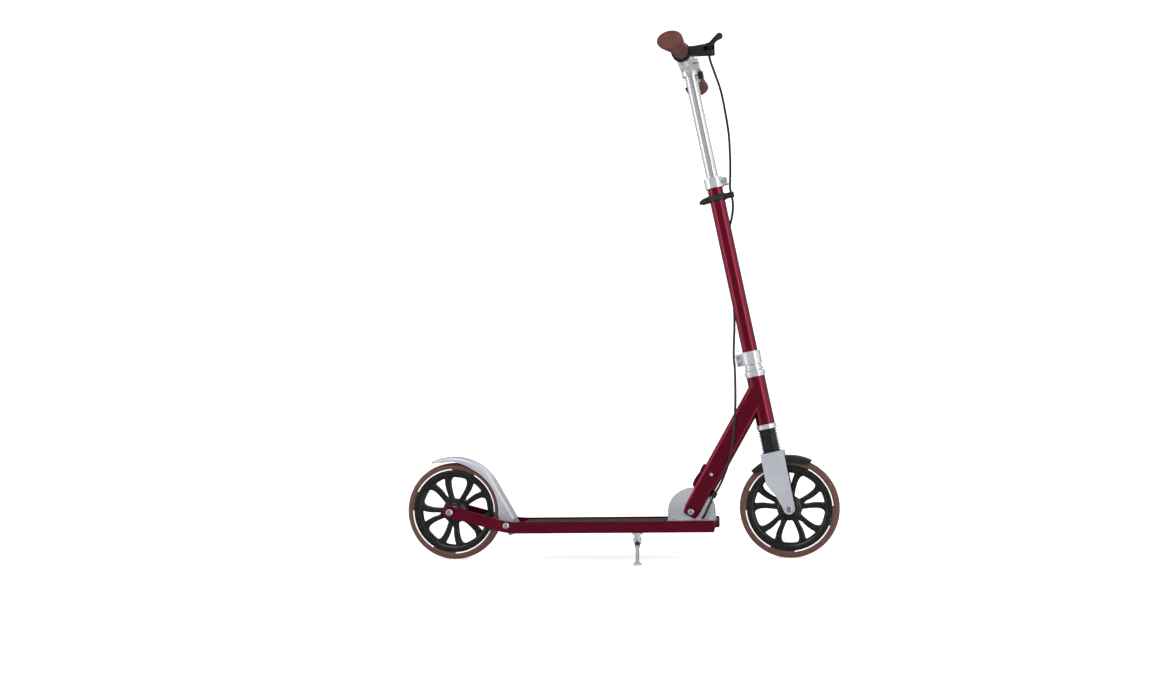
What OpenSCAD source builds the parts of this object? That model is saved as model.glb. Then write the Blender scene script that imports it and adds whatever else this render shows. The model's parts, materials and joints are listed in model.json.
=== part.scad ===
// Folding kick scooter: two large wheels, telescopic T-bar, front suspension,
// hand brake and foot brake on the rear wheel, side kickstand.
// +X is forward, +Y is the rider's left, +Z is up. The origin is on the ground,
// halfway between the axles. All sizes are in millimetres.

/* [Wheels] */
// Distance between the two axles
wheelbase = 712; // [704:1:718]
// Outer diameter of both wheels
wheel_d = 205; // [203:1:206]
// Width of the tyres
tyre_w = 29; // [26:1:30]
// Diameter of both axles
axle_d = 8; // [8]

/* [Steering] */
// Lean of the steering axis behind vertical, in degrees
head_angle = 10.7; // [10.4:0.1:11]
// Forward offset of the front axle from the steering axis
fork_offset = 11.4; // [10:0.2:12.4]
// Height of the handlebar centre, measured along the steering axis from the ground
bar_s = 1052; // [1044:1:1060]
// Half the width of the handlebar over the grips
bar_half_w = 262; // [256:1:268]
// Outer diameter of the painted column tube
column_d = 31.8; // [31.8]
// Outer diameter of the telescopic inner tube
inner_d = 25; // [25]
// Travel of the telescopic tube
drop_travel = 185; // [160:5:185]
// Travel of the front suspension
fork_travel = 14; // [8:1:14]

/* [Deck] */
// Width over the side rails
deck_w = 124; // [120:1:130]
// Width over the side rails at the rear axle
tail_w = 100; // [98:1:104]
// Height of the underside of the rails above the ground
rail_z = 58; // [56:1:60]
// Height of the side rails
rail_h = 24; // [22:1:26]
// Thickness of the side rails
rail_t = 8; // [7:1:9]
// Front end of the deck, forward of the middle of the wheelbase
deck_front = 205; // [200:1:208]

/* [Folding joint] */
// Fold pivot, forward of the middle of the wheelbase
pivot_x = 153; // [150:1:155]
// Fold pivot, above the ground
pivot_z = 97; // [96:1:100]
// Rise of the down tube above horizontal, in degrees
tube_angle = 59.7; // [59:0.1:60.4]
// Angle between riding and folded, in degrees
fold_angle = 81.5; // [78:0.5:82]
// Radius of the bracket's half disc
disc_r = 48.5; // [48:0.5:50]

/* [Kickstand] */
// Foot of the kickstand, forward of the middle of the wheelbase
stand_x = 56; // [50:1:60]
// Foot of the kickstand, out to the right of the middle plane
stand_y = 140; // [130:1:150]

/* [Hidden] */

$fn = 64;
HULL_FN = 32;
RED = [0.42, 0.02, 0.12];
SILVER = [0.80, 0.81, 0.83];
SATIN = [0.70, 0.73, 0.78];
STEEL = [0.55, 0.56, 0.58];
BLACK = [0.06, 0.06, 0.07];
BROWN = [0.40, 0.23, 0.20];

wheel_r = wheel_d / 2;
axle_x = wheelbase / 2;
axle_r = axle_d / 2;

// the steering frame: its z runs up the steering axis, its x is forward, and its
// origin is where the axis meets the ground
steer_x = axle_x + wheel_r * tan(head_angle) - fork_offset / cos(head_angle);
axle_s = wheel_r / cos(head_angle) - fork_offset * tan(head_angle);
module on_steering(s = 0)
    translate([steer_x, 0, 0]) rotate([0, -head_angle, 0]) translate([0, 0, s]) children();

// the down tube's frame: its z runs up the tube from the fold pivot, and its x faces
// forward and down
module on_down_tube(z = 0)
    translate([pivot_x, 0, pivot_z]) rotate([0, 90 - tube_angle, 0]) translate([0, 0, z])
        children();

// the kickstand's frame: its z is the stand's hinge axis, and its x is forward
hinge_x = 44;
hinge_y = 50;
hinge_z = 42;
stand_lean = 23.4;
module on_stand()
    translate([hinge_x, -hinge_y, hinge_z]) rotate([stand_lean, 0, 0]) children();

// ---- shared shapes ----

// a round bar along Y, centred
module y_bar(r, w) rotate([90, 0, 0]) cylinder(r = r, h = w, center = true);

// a flat shape drawn in X and Z, given a width along Y, centred
module y_plate(w) rotate([90, 0, 0]) linear_extrude(height = w, center = true) children();

// a tube along Z
module tube(r_out, r_in, h)
    difference() {
        cylinder(r = r_out, h = h);
        translate([0, 0, -1]) cylinder(r = r_in, h = h + 2);
    }

// a bolt head on the end of a bar along Y, with a socket for a hexagon key
module y_head(r, h, side)
    rotate([side * 90, 0, 0]) difference() {
        union() {
            cylinder(r = r, h = h * 0.6);
            translate([0, 0, h * 0.6]) cylinder(r1 = r, r2 = r * 0.72, h = h * 0.4);
        }
        translate([0, 0, h * 0.4]) cylinder(r = r * 0.42, h = h, $fn = 6);
    }

// points of an arc from angle a0 to a1 in n steps
function arc(cx, cz, r, a0, a1, n) =
    [for (i = [0 : n]) let (a = a0 + (a1 - a0) * i / n) [cx + r * cos(a), cz + r * sin(a)]];

// ---- cords: a round tube swept along a list of points ----

function unit(v) = v / norm(v);
function tangent(p, i) =
    unit(p[min(i + 1, len(p) - 1)] - p[max(i - 1, 0)]);
// carry the ring's first direction along the route, so that the tube doesn't twist
function carry(n, t) = unit(n - (n * t) * t);
function frames(p, i, n) =
    i == len(p) ? [] : let (m = carry(n, tangent(p, i))) concat([m], frames(p, i + 1, m));
function smooth(p, k) =
    [for (i = [0 : len(p) - 2], j = [0 : k - 1])
        let (a = p[max(i - 1, 0)], b = p[i], c = p[i + 1], d = p[min(i + 2, len(p) - 1)], t = j / k)
        0.5 * (2 * b + (c - a) * t + (2 * a - 5 * b + 4 * c - d) * t * t
            + (3 * b - a - 3 * c + d) * t * t * t)];
module sweep(route, r, sides, start = [0, 1, 0]) {
    ns = frames(route, 0, start);
    pts = [for (i = [0 : len(route) - 1], k = [0 : sides - 1])
        let (t = tangent(route, i), a = 360 * k / sides)
        route[i] + r * (cos(a) * ns[i] + sin(a) * cross(t, ns[i]))];
    last = (len(route) - 1) * sides;
    walls = [for (i = [0 : len(route) - 2], k = [0 : sides - 1], half = [0, 1])
        let (a = i * sides + k, b = i * sides + (k + 1) % sides)
        half == 0 ? [a, a + sides, b + sides] : [a, b + sides, b]];
    caps = [[for (k = [0 : sides - 1]) k], [for (k = [sides - 1 : -1 : 0]) last + k]];
    polyhedron(points = pts, faces = concat(walls, caps), convexity = 6);
}
module cord(points, r = 2.5, steps = 3)
    color(BLACK) sweep(concat(smooth(points, steps), [points[len(points) - 1]]), r, 8);

// ---- deck ----

bend_r = 206;
bend_x = -205;
tail_rise = 15.3;
tail_x = -366;
rail_mid = rail_z + rail_h / 2;
bend_end_x = bend_x - bend_r * sin(tail_rise);
bend_end_z = rail_mid + bend_r * (1 - cos(tail_rise));
tail_z = bend_end_z + (bend_end_x - tail_x) * tan(tail_rise);
half_h = rail_h / 2;

// the rail seen from the side: straight, then a bend up to the axle
module rail_side()
    polygon(concat(
        [[deck_front, rail_mid - half_h + 2], [deck_front - 2, rail_mid - half_h]],
        arc(bend_x, rail_mid + bend_r, bend_r + half_h, 270, 270 - tail_rise, 10),
        [[tail_x - half_h * sin(tail_rise), tail_z - half_h * cos(tail_rise)],
         [tail_x + half_h * sin(tail_rise), tail_z + half_h * cos(tail_rise)]],
        arc(bend_x, rail_mid + bend_r, bend_r - half_h, 270 - tail_rise, 270, 10),
        [[deck_front - 2, rail_mid + half_h], [deck_front, rail_mid + half_h - 2]]));

// the rail seen from above: it draws in towards the rear axle in a soft S
taper_x0 = -205;
taper_l = 80;
function rail_y(x) =
    let (t = min(max((taper_x0 - x) / taper_l, 0), 1))
    deck_w / 2 - (deck_w - tail_w) / 2 * (1 - cos(180 * t)) / 2;
module rail_plan() {
    xs = [deck_front + 5, for (i = [0 : 8]) taper_x0 - taper_l * i / 8, tail_x - 10];
    polygon(concat([for (x = xs) [x, -rail_y(x)]],
        [for (i = [len(xs) - 1 : -1 : 0]) [xs[i], rail_t - rail_y(xs[i])]]));
}
fender_hinge_x = -231.5;
fender_hinge_z = 74.5;
module side_rail()
    color(RED) difference() {
        intersection() {
            y_plate(2 * deck_w) rail_side();
            translate([0, 0, rail_z - 20]) linear_extrude(height = 120) rail_plan();
        }
        translate([-axle_x, -tail_w / 2, wheel_r]) y_bar(axle_r + 0.05, 40);
        translate([fender_hinge_x, -deck_w / 2, fender_hinge_z]) y_bar(pin_r + 0.05, 60);
    }
module side_rail_right() side_rail();
module side_rail_left() mirror([0, 1, 0]) side_rail();

plate_t = 3.5;
plate_top = rail_z + rail_h - 4.2;
plate_half_w = deck_w / 2 - rail_t - 0.05;
plate_back = -205;
rib_y = 30;
rib_t = 3;
rib_h = 12;
// an extruded deck: a flat top over two ribs and two edge webs
module deck_section()
    union() {
        translate([-plate_half_w, plate_top - plate_t]) square([2 * plate_half_w, plate_t]);
        for (s = [-1, 1]) {
            translate([s * rib_y - rib_t / 2, plate_top - plate_t - rib_h])
                square([rib_t, rib_h + 1]);
            translate([s * (plate_half_w - rib_t / 2) - rib_t / 2, plate_top - plate_t - rib_h])
                square([rib_t, rib_h + 1]);
        }
    }
module deck_plate()
    color(BLACK) difference() {
        translate([plate_back, 0, 0]) rotate([90, 0, 90])
            linear_extrude(height = deck_front - plate_back - 1) deck_section();
        for (x = bracket_bolt_xs, s = [-1, 1])
            translate([x, s * bracket_bolt_y, plate_top - 10]) cylinder(r = screw_r + 0.05, h = 20);
        cable_drop();
    }

tape_t = 1.4;
tape_front = pivot_x - disc_r - 6;
module grip_tape()
    color([0.10, 0.10, 0.11]) translate([0, 0, plate_top])
        linear_extrude(height = tape_t)
            union() {
                translate([plate_back + 8, -plate_half_w + 2])
                    square([tape_front - plate_back - 8, 2 * plate_half_w - 4]);
                translate([plate_back + 2, -plate_half_w + 8])
                    square([7, 2 * plate_half_w - 16]);
            }

// two blocks between the ribs, which stiffen the plate and guide the brake cable
cross_xs = [85, -178];
cross_l = 30;
cross_h = 13;
cross_half_w = rib_y - rib_t / 2 - 0.1;
cross_bolt_y = 16;
cable_slot_w = 9;
cable_slot_h = 11;
screw_r = 2.5;
pin_r = 4;
module cross_members()
    color(STEEL) for (x = cross_xs)
        translate([x, 0, plate_top - plate_t - cross_h - 0.1]) difference() {
            translate([-cross_l / 2, -cross_half_w, 0]) cube([cross_l, 2 * cross_half_w, cross_h]);
            translate([-cross_l, -cable_slot_w / 2, cross_h - cable_slot_h])
                cube([2 * cross_l, cable_slot_w, cable_slot_h + 1]);
            for (s = [-1, 1])
                translate([0, s * cross_bolt_y, -1]) cylinder(r = screw_r + 0.05, h = cross_h + 2);
        }

bracket_w = 31;
bracket_base_w = 62;
bracket_base_t = 4;
bracket_bolt_y = 24;
bracket_bolt_xs = [pivot_x - 38, pivot_x + 38];
pivot_r = 5;
groove_r = disc_r - 7;
groove_w = 10.4;
groove_gap = 7;
// the bracket from the side: half a disc standing on the deck
module bracket_side()
    difference() {
        union() {
            translate([pivot_x, pivot_z]) circle(r = disc_r);
            translate([pivot_x - disc_r, plate_top]) square([2 * disc_r, pivot_z - plate_top]);
        }
        translate([pivot_x - 2 * disc_r, plate_top - 2 * disc_r]) square([4 * disc_r, 2 * disc_r]);
    }
// the latch bolt sweeps along this groove as the scooter folds, and stops at its ends
module latch_groove()
    intersection() {
        translate([pivot_x, 0, pivot_z]) difference() {
            y_bar(disc_r + 1, groove_w);
            y_bar(groove_r, groove_w + 1);
        }
        y_plate(groove_w) translate([pivot_x, pivot_z])
            polygon([[0, 0],
                for (a = [tube_angle - groove_gap, tube_angle + fold_angle / 2,
                    tube_angle + fold_angle + groove_gap])
                2 * disc_r * [cos(a), sin(a)]]);
    }
module fold_bracket()
    color(SILVER) difference() {
        union() {
            y_plate(bracket_w) bracket_side();
            translate([pivot_x - disc_r, -bracket_base_w / 2, plate_top])
                cube([2 * disc_r, bracket_base_w, bracket_base_t]);
        }
        translate([pivot_x, 0, pivot_z]) y_bar(pivot_r + 0.05, 60);
        latch_groove();
        cable_drop();
        for (x = bracket_bolt_xs, s = [-1, 1])
            translate([x, s * bracket_bolt_y, plate_top - 5]) cylinder(r = screw_r + 0.05, h = 20);
    }
// the hole that the brake cable drops through, beside the bracket
drop_x = 176;
drop_y = -22.5;
module cable_drop()
    translate([drop_x, drop_y, plate_top - 10]) cylinder(r = cord_hole_r + 0.5, h = 30);

module fold_pivot_pin()
    color(STEEL) translate([pivot_x, 0, pivot_z]) {
        y_bar(pivot_r, tube_w + 1);
        translate([0, -tube_w / 2 - 0.4, 0]) y_head(6.2, 3.4, 1);
        translate([0, tube_w / 2 + 0.4, 0]) y_head(6.2, 3.4, -1);
    }

hub_half = 15;
spacer_r = 8;
rail_in_y = tail_w / 2 - rail_t;
module rear_axle()
    color(STEEL) translate([-axle_x, 0, wheel_r]) {
        y_bar(axle_r, tail_w + 2);
        translate([0, -tail_w / 2 - 0.6, 0]) y_head(7, 4.5, 1);
        translate([0, tail_w / 2 + 0.6, 0]) y_head(7, 4.5, -1);
        for (s = [-1, 1])
            translate([0, s * (rail_in_y + hub_half) / 2, 0])
                difference() {
                    y_bar(spacer_r, rail_in_y - hub_half - 0.6);
                    y_bar(axle_r + 0.05, 60);
                }
    }

hinge_half_y = rail_y(fender_hinge_x);
module fender_pivot_bolt()
    color(STEEL) translate([fender_hinge_x, 0, fender_hinge_z]) {
        y_bar(pin_r, 2 * hinge_half_y + 4);
        translate([0, -hinge_half_y - 1.6, 0]) y_head(6.5, 3.5, 1);
        translate([0, hinge_half_y + 1.6, 0]) y_head(6.5, 3.5, -1);
    }

// a torsion spring wound round the fender's hinge bolt, beside the fender
spring_wire = 1;
module fender_spring()
    color(STEEL) translate([fender_hinge_x, 34, fender_hinge_z]) rotate([90, 0, 0])
        sweep([for (i = [0 : 12 * 4]) let (a = 30 * i)
            [6 * cos(a), 6 * sin(a), -5 + 10 * i / 48]], spring_wire, 6, [1, 0, 0]);

module kickstand_bracket()
    color(SILVER) difference() {
        union() {
            translate([hinge_x - 9, -plate_half_w + 0.3 - rail_t, rail_z - 4.3])
                cube([18, 34, 4]);
            intersection() {
                on_stand() translate([0, 0, stand_hub_h / 2 + 0.4]) cylinder(r = 7, h = 30);
                translate([hinge_x - 20, -hinge_y - 30, 20]) cube([40, 60, rail_z - 0.3 - 20]);
            }
        }
        on_stand() translate([0, 0, -30]) cylinder(r = pin_r + 0.05, h = 60);
    }
stand_hub_h = 9;

// screws that hold the fold bracket from above and the cross members from below
module deck_bolts()
    color(STEEL) {
        for (x = bracket_bolt_xs, s = [-1, 1])
            translate([x, s * bracket_bolt_y, plate_top - 8]) {
                cylinder(r = screw_r, h = 10 + bracket_base_t);
                translate([0, 0, 8 + bracket_base_t]) cylinder(r = 5, h = 2.6);
            }
        for (x = cross_xs, s = [-1, 1])
            translate([x, s * cross_bolt_y, plate_top - plate_t - cross_h - 2.6]) {
                cylinder(r = screw_r, h = cross_h + 2);
                cylinder(r = 4.5, h = 2.5);
            }
    }

// ---- wheels ----

rim_w = 22;
rim_r = 86;
hub_r = 20;
bearing_r = 11;
bearing_w = 7;
// half of the tyre's section, from the tread down to the bead
module tyre_section()
    polygon(concat(
        [for (a = [90 : -10 : -20])
            [wheel_r - 8.5 + 8.5 * max(sin(a), -1), 0] + [0, tyre_w / 2 - 8.5 + 8.5 * cos(a)]],
        [[rim_r + 0.05, rim_w / 2], [rim_r + 0.05, -rim_w / 2]],
        [for (a = [-20 : 10 : 90])
            [wheel_r - 8.5 + 8.5 * max(sin(a), -1), 0] - [0, tyre_w / 2 - 8.5 + 8.5 * cos(a)]]));
module tyre() color(BROWN) rotate([90, 0, 0]) rotate_extrude($fn = 128) tyre_section();

// wide windows between the pairs of spokes, and narrow ones inside each pair
module wide_window()
    polygon([[24, -4], [24, 4], [38, 10], [54, 17.5], [62, 20], [66.5, 17], [69, 9],
        [69.6, 0], [69, -9], [66.5, -17], [62, -20], [54, -17.5], [38, -10]]);
module narrow_window()
    polygon([[33, -1.6], [33, 1.6], [50, 5], [64, 11.5], [68, 9.5], [69.6, 0], [68, -9.5],
        [64, -11.5], [50, -5]]);
module rim(turn)
    color(BLACK) rotate([90, 0, 0]) difference() {
        rotate_extrude($fn = 128)
            polygon([[bearing_r - 2, -hub_half], [hub_r, -hub_half], [hub_r + 3, -10], [64, -7],
                [71, -10], [80, -rim_w / 2], [rim_r, -rim_w / 2], [rim_r, rim_w / 2],
                [80, rim_w / 2], [71, 10], [64, 7], [hub_r + 3, 10], [hub_r, hub_half],
                [bearing_r - 2, hub_half]]);
        for (i = [0 : 4]) {
            rotate([0, 0, turn + 72 * i]) translate([0, 0, -20])
                linear_extrude(height = 40) wide_window();
            rotate([0, 0, turn + 36 + 72 * i]) translate([0, 0, -20])
                linear_extrude(height = 40) narrow_window();
        }
        for (z = [-hub_half - 1, hub_half - bearing_w])
            translate([0, 0, z]) cylinder(r = bearing_r, h = bearing_w + 1);
    }
module bearings()
    color(STEEL) for (s = [-1, 1])
        translate([0, s * (hub_half - bearing_w / 2), 0]) rotate([90, 0, 0])
            translate([0, 0, -bearing_w / 2]) tube(bearing_r - 0.05, axle_r + 0.05, bearing_w - 0.2);
module at_rear_axle() translate([-axle_x, 0, wheel_r]) children();
module at_front_axle() translate([axle_x, 0, wheel_r]) children();
module rear_tyre() at_rear_axle() tyre();
module rear_rim() at_rear_axle() rim(9);
module rear_bearings() at_rear_axle() bearings();
module front_tyre() at_front_axle() tyre();
module front_rim() at_front_axle() rim(-18);
module front_bearings() at_front_axle() bearings();

// ---- rear fender, which is also the brake ----

fender_w = 44;
fender_t = 2;
crown_cx = -2;
crown_cz = 9;
crown_r = 106;
crown_a0 = 114;
crown_a1 = 29.4;
base_rx = 134;
base_rz = -16.7;
// the fender's outer face, drawn about the rear axle: an arc, then a straight run to the deck
function crown(d) = arc(crown_cx, crown_cz, crown_r - d, crown_a0, crown_a1, 16);
module fender_top()
    polygon(concat(crown(0), [[base_rx, base_rz], [base_rx - 2.6, base_rz - 1.4]],
        [for (i = [16 : -1 : 0]) crown(2.5)[i]]));
// the side skirts follow the wheel, and run down to the hinge and the cable arm
hinge_rx = axle_x + fender_hinge_x;
hinge_rz = fender_hinge_z - wheel_r;
module fender_side()
    difference() {
        union() {
            polygon(concat([for (i = [16 : -1 : 0]) crown(0)[i]],
                arc(0, 0, 107, 112, 90, 4), arc(0, 0, 99, 66, 0, 8),
                [[99, -22], [110, -30], [base_rx, base_rz]]));
            translate([hinge_rx, hinge_rz]) circle(r = 9);
            translate([hinge_rx - 5, -46.5]) square([10, 46.5 + hinge_rz]);
            translate([hinge_rx, -46.5]) circle(r = 5);
        }
        translate([hinge_rx, hinge_rz]) circle(r = pin_r + 0.06);
        translate([hinge_rx, -46.5]) circle(r = 3.05);
    }
module rear_fender()
    color(SATIN) at_rear_axle() {
        y_plate(fender_w) fender_top();
        for (s = [-1, 1])
            translate([0, s * (fender_w - fender_t) / 2, 0]) y_plate(fender_t) fender_side();
    }

pad_r = 107.3;
module brake_pad()
    color(BLACK) at_rear_axle() y_plate(24)
        polygon(concat(arc(crown_cx, crown_cz, crown_r - 2.75, 62, 98, 8), arc(0, 0, pad_r, 99, 60, 8)));

module cable_anchor()
    color(STEEL) at_rear_axle() translate([hinge_rx, 0, -46.5]) difference() {
        union() {
            y_bar(3, fender_w + 4);
            y_bar(5, 16);
        }
        rotate([0, 90, 0]) cylinder(r = 1.2, h = 20, center = true);
    }

// ---- kickstand ----

stand_dx = stand_x - hinge_x;
stand_dy = stand_y - hinge_y;
foot_top = 4.6;
leg_turn = atan2(-stand_dy * cos(stand_lean) - (hinge_z - foot_top) * sin(stand_lean), stand_dx);
leg_l = norm([stand_dx, stand_dy, hinge_z - foot_top]);
module kickstand_leg()
    color(SATIN) {
        on_stand() difference() {
            union() {
                translate([0, 0, -stand_hub_h / 2]) cylinder(r = 8.5, h = stand_hub_h);
                rotate([0, 0, leg_turn]) rotate([0, 90, 0]) cylinder(r = 3.8, h = leg_l - 1);
            }
            translate([0, 0, -20]) cylinder(r = pin_r + 0.05, h = 40);
        }
        translate([stand_x, -stand_y, 0]) {
            cylinder(r = 9, h = 3);
            translate([0, 0, 3]) cylinder(r1 = 9, r2 = 4.5, h = 3);
        }
    }
// the hinge bolt's black sprung cap
module kickstand_spring()
    color(BLACK) on_stand() {
        translate([0, 0, -stand_hub_h / 2 - 4]) cylinder(r = 7, h = 3.8);
        translate([0, 0, -stand_hub_h / 2 - 1]) cylinder(r = pin_r, h = stand_hub_h + 12);
    }

// ---- front frame ----

head_r = 19;
head_s0 = 280.3;
head_s1 = 381.5;
head_bore_r = 16;
tube_w = 38;
tube_depth = 42;
wall = 3;
corner_r = 11;
toe_corner_r = 4.5;
toe_top = 22;
tube_reach = 400;
latch_z = 89;
module rounded(w, d, r)
    union() {
        square([w - 2 * r, d], center = true);
        square([w, d - 2 * r], center = true);
        for (x = [-1, 1], y = [-1, 1])
            translate([x * (w / 2 - r), y * (d / 2 - r)]) circle(r = r);
    }
// the tube's toe, seen from the side: it is cut square across, with round corners that
// turn about the pivot just above the deck
module toe_side()
    polygon(concat(arc(-9.5, -toe_corner_r, toe_corner_r, 180, 270, 8),
        arc(11.5, -toe_corner_r, toe_corner_r, 270, 360, 8),
        [[tube_depth / 2, toe_top], [tube_depth / 2, tube_reach],
            [-tube_depth / 2, tube_reach], [-tube_depth / 2, toe_top]]));
module down_tube()
    color(RED) difference() {
        on_down_tube() intersection() {
            translate([0, 0, -20]) linear_extrude(height = tube_reach)
                rounded(tube_depth, tube_w, corner_r);
            y_plate(60) toe_side();
        }
        on_down_tube() {
            translate([0, 0, -30]) linear_extrude(height = 290)
                rounded(tube_depth - 2 * wall, tube_w - 2 * wall, corner_r - wall);
            y_bar(disc_r + 1.2, tube_w - 2 * wall);
            y_bar(pivot_r + 0.05, 80);
            translate([-tube_depth / 2 - 5, -lever_w / 2 - 0.5, 40])
                cube([wall + 9, lever_w + 1, lever_z1 + 6 - 40]);
            translate([0, 0, latch_z]) y_bar(2.55, 80);
        }
        on_steering(head_s0 - 50) {
            cylinder(r = head_r + 0.1, h = 300);
            translate([0, -50, 0]) cube([200, 100, 300]);
        }
    }
module head_tube() color(RED) on_steering(head_s0) tube(head_r, head_bore_r, head_s1 - head_s0);

cup_r = 17.2;
module headset_cups()
    color(SILVER) {
        on_steering(head_s1 + 0.1) difference() {
            union() {
                cylinder(r = 20, h = 4);
                translate([0, 0, 4]) cylinder(r = 21.4, h = 7.4);
            }
            translate([0, 0, -1]) cylinder(r = cup_r, h = 20);
        }
        on_steering(head_s0 - 9.6) tube(20.6, cup_r, 9.5);
    }
module headset_bearings()
    color(STEEL) for (s = [head_s1 + 2, head_s0 - 8.4])
        on_steering(s) tube(cup_r - 0.05, steerer_r + 0.05, 7);

module latch_pivot_pin()
    color(SILVER) on_down_tube(latch_z) {
        y_bar(2.5, tube_w + 1);
        for (s = [-1, 1]) translate([0, s * (tube_w / 2 + 0.9), 0]) y_bar(3.2, 1.6);
    }

tube_clip_z = 55;
tube_clip_h = 12;
tube_clip_x = 25.5;
tube_clip_y = -19;
cord_hole_r = 3.2;
module down_tube_clip()
    color(BLACK) on_down_tube(tube_clip_z - tube_clip_h / 2) difference() {
        union() {
            translate([tube_depth / 2 + 0.05, tube_clip_y, 0]) cube([6, 17, tube_clip_h]);
            translate([tube_clip_x, tube_clip_y, 0]) cylinder(r = 5, h = tube_clip_h);
        }
        translate([tube_clip_x, tube_clip_y, -1]) cylinder(r = cord_hole_r, h = tube_clip_h + 2);
        translate([0, 0, -1]) linear_extrude(height = tube_clip_h + 2)
            rounded(tube_depth + 0.4, tube_w + 0.4, corner_r);
    }

// ---- fold latch ----

lever_w = 25;
lever_z0 = 48;
lever_z1 = 97;
lever_pin_x = -tube_depth / 2 - 1.6;
module fold_lever()
    color(RED) on_down_tube() y_plate(lever_w)
        union() {
            translate([lever_pin_x, lever_z1]) circle(r = 3);
            polygon([[lever_pin_x - 3, lever_z1], [lever_pin_x - 3, lever_z1 - 10],
                [lever_pin_x - 2, 80], [lever_pin_x - 3.4, 72], [lever_pin_x - 4, 62],
                [lever_pin_x - 3.2, 54], [lever_pin_x, lever_z0], [lever_pin_x + 2, lever_z0],
                [lever_pin_x + 2, lever_z1]]);
        }
bolt_w = 10;
bolt_d = 10;
module latch_bolt()
    color(STEEL) on_down_tube() difference() {
        translate([-bolt_d / 2, -bolt_w / 2, groove_r + 1]) cube([bolt_d, bolt_w, 62]);
        translate([0, 0, latch_z]) long_slot(3, 9);
    }
// a slot along Z with round ends, cut across Y
module long_slot(r, l)
    union() {
        translate([0, 0, -l]) y_bar(r, 40);
        translate([0, 0, 1]) y_bar(r, 40);
        translate([-r, -20, -l]) cube([2 * r, 40, l + 1]);
    }

// ---- steering column ----

steerer_r = 14.25;
steerer_bore_r = 12.45;
steerer_s0 = 238;
steerer_s1 = 432;
spring_top_s = 376;
column_s0 = 407.5;
column_s1 = 795;
column_r = column_d / 2;
module column_tube()
    color(RED) on_steering(column_s0)
        tube(column_r, steerer_r + 0.1, column_s1 - column_s0);
module steerer()
    color(STEEL) on_steering(steerer_s0) {
        tube(steerer_r, steerer_bore_r, steerer_s1 - steerer_s0);
        translate([0, 0, spring_top_s - steerer_s0]) cylinder(r = steerer_bore_r + 0.1, h = 6);
    }
module headset_locknut()
    color(SILVER) on_steering(head_s1 + 12) difference() {
        union() {
            cylinder(r = 17, h = 13);
            translate([0, 0, 2]) cylinder(r = 19, h = 5);
        }
        translate([0, 0, -1]) cylinder(r = steerer_r + 0.03, h = 20);
    }
clamp_h = 27;
clamp_r = 19.8;
clamp_bolt_x = -26;
clamp_bolt_ss = [6, 20];
module column_clamp()
    color(SILVER) on_steering(column_s0) difference() {
        union() {
            cylinder(r = clamp_r, h = clamp_h);
            translate([-32, -8, 1]) cube([20, 16, clamp_h - 2]);
        }
        translate([0, 0, -1]) cylinder(r = column_r + 0.05, h = clamp_h + 2);
        translate([-40, -1, -1]) cube([30, 2, clamp_h + 2]);
        for (s = clamp_bolt_ss) translate([clamp_bolt_x, 0, s]) y_bar(screw_r + 0.05, 40);
    }
module clamp_bolts()
    color(STEEL) on_steering(column_s0) for (s = clamp_bolt_ss) translate([clamp_bolt_x, 0, s]) {
        y_bar(screw_r, 18);
        translate([0, -8.1, 0]) y_head(4.4, 4, 1);
        translate([0, 8.1, 0]) y_head(4.4, 4, -1);
    }

collar_s = 784;
collar_h = 22;
collar_r = 19.5;
skewer_x = 23.4;
skewer_s = 11;
ear_half = 7.5;
module height_collar()
    color(SILVER) on_steering(collar_s) difference() {
        union() {
            cylinder(r = collar_r, h = collar_h);
            translate([10, -ear_half, 3]) cube([17.8, 2 * ear_half, collar_h - 6]);
        }
        translate([0, 0, -1]) cylinder(r = column_r + 0.05, h = column_s1 - collar_s + 1.2);
        translate([0, 0, -1]) cylinder(r = inner_d / 2 + 0.06, h = collar_h + 2);
        translate([10, -1, -1]) cube([30, 2, collar_h + 2]);
        translate([skewer_x, 0, skewer_s]) y_bar(screw_r + 0.05, 40);
    }
cam_y = 14;
module quick_release_skewer()
    color(STEEL) on_steering(collar_s + skewer_s) translate([skewer_x, 0, 0]) {
        translate([0, (cam_y - 11) / 2, 0]) y_bar(screw_r, cam_y + 11);
        translate([0, -ear_half - 2.1, 0]) y_bar(4.6, 4);
        translate([0, cam_y, -7]) cylinder(r = 2.4, h = 14);
    }
cam_r = 6;
module quick_release_lever()
    color(SILVER) on_steering(collar_s + skewer_s) translate([skewer_x, cam_y, -7]) difference() {
        union() {
            cylinder(r = cam_r, h = 14);
            linear_extrude(height = 14)
                polygon([[0, cam_r], [-10, 11.5], [-22, 12.5], [-34, 9.5], [-41, 5], [-41.5, 2.5],
                    [-39, 2], [-32, 5.6], [-22, 8], [-10, 6.6], [-4, 2]]);
        }
        translate([0, 0, -1]) cylinder(r = 2.46, h = 20);
        translate([-9, -20, 4]) cube([30, 40, 6]);
    }

clip_s = 757;
clip_h = 13;
cable_clip_x = 31;
module column_clip()
    color(BLACK) on_steering(clip_s) difference() {
        union() {
            cylinder(r = 19, h = clip_h);
            y_plate(12) polygon([[-14, 0], [-30, -1], [-38.5, 2], [-36, 7], [-28, 11], [-14, clip_h]]);
            translate([10, -6, 1]) cube([cable_clip_x - 10, 12, clip_h - 2]);
            translate([cable_clip_x, 0, 1]) cylinder(r = 5.6, h = clip_h - 2);
        }
        translate([0, 0, -1]) cylinder(r = column_r + 0.05, h = clip_h + 2);
        translate([cable_clip_x, 0, -1]) cylinder(r = cord_hole_r, h = clip_h + 2);
    }

// ---- handlebar ----

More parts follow.
